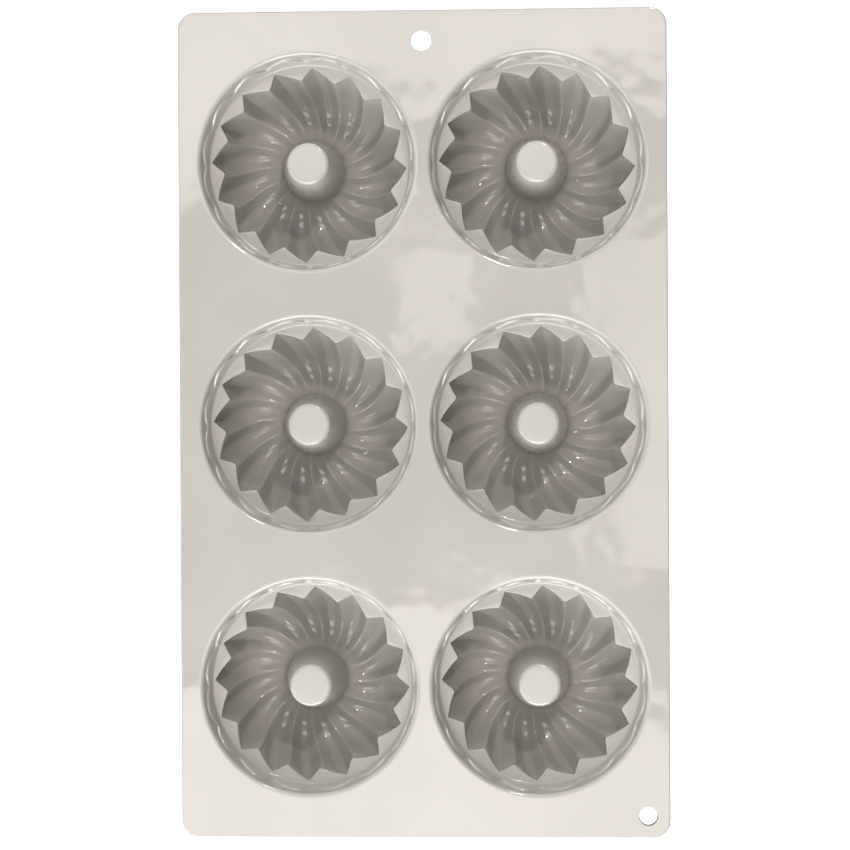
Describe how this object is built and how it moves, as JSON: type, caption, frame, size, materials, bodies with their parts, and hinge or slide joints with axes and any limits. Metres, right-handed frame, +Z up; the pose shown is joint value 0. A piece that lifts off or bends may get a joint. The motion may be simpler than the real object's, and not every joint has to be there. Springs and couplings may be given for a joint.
{
  "type": "crown muffin mould",
  "caption": "Flat flexible baking mould sheet with round swirled fluted ring cups, hollow centre cones, a waved step in each rim and two hang holes.",
  "frame": {"origin": "centre of the bounding box, on the level of the ridges that the cups rest on", "axes": "+X across the two columns of cups toward the side with the corner hang hole, +Y along the three rows toward the edge with the middle hang hole, +Z up out of the open cups"},
  "size_m": [0.175, 0.296, 0.0361],
  "materials": {
    "mould": "soft silicone, satin with a faint gloss, warm light grey"
  },
  "bodies": {
    "root": {"mould": "mould"}
  },
  "joints": []
}
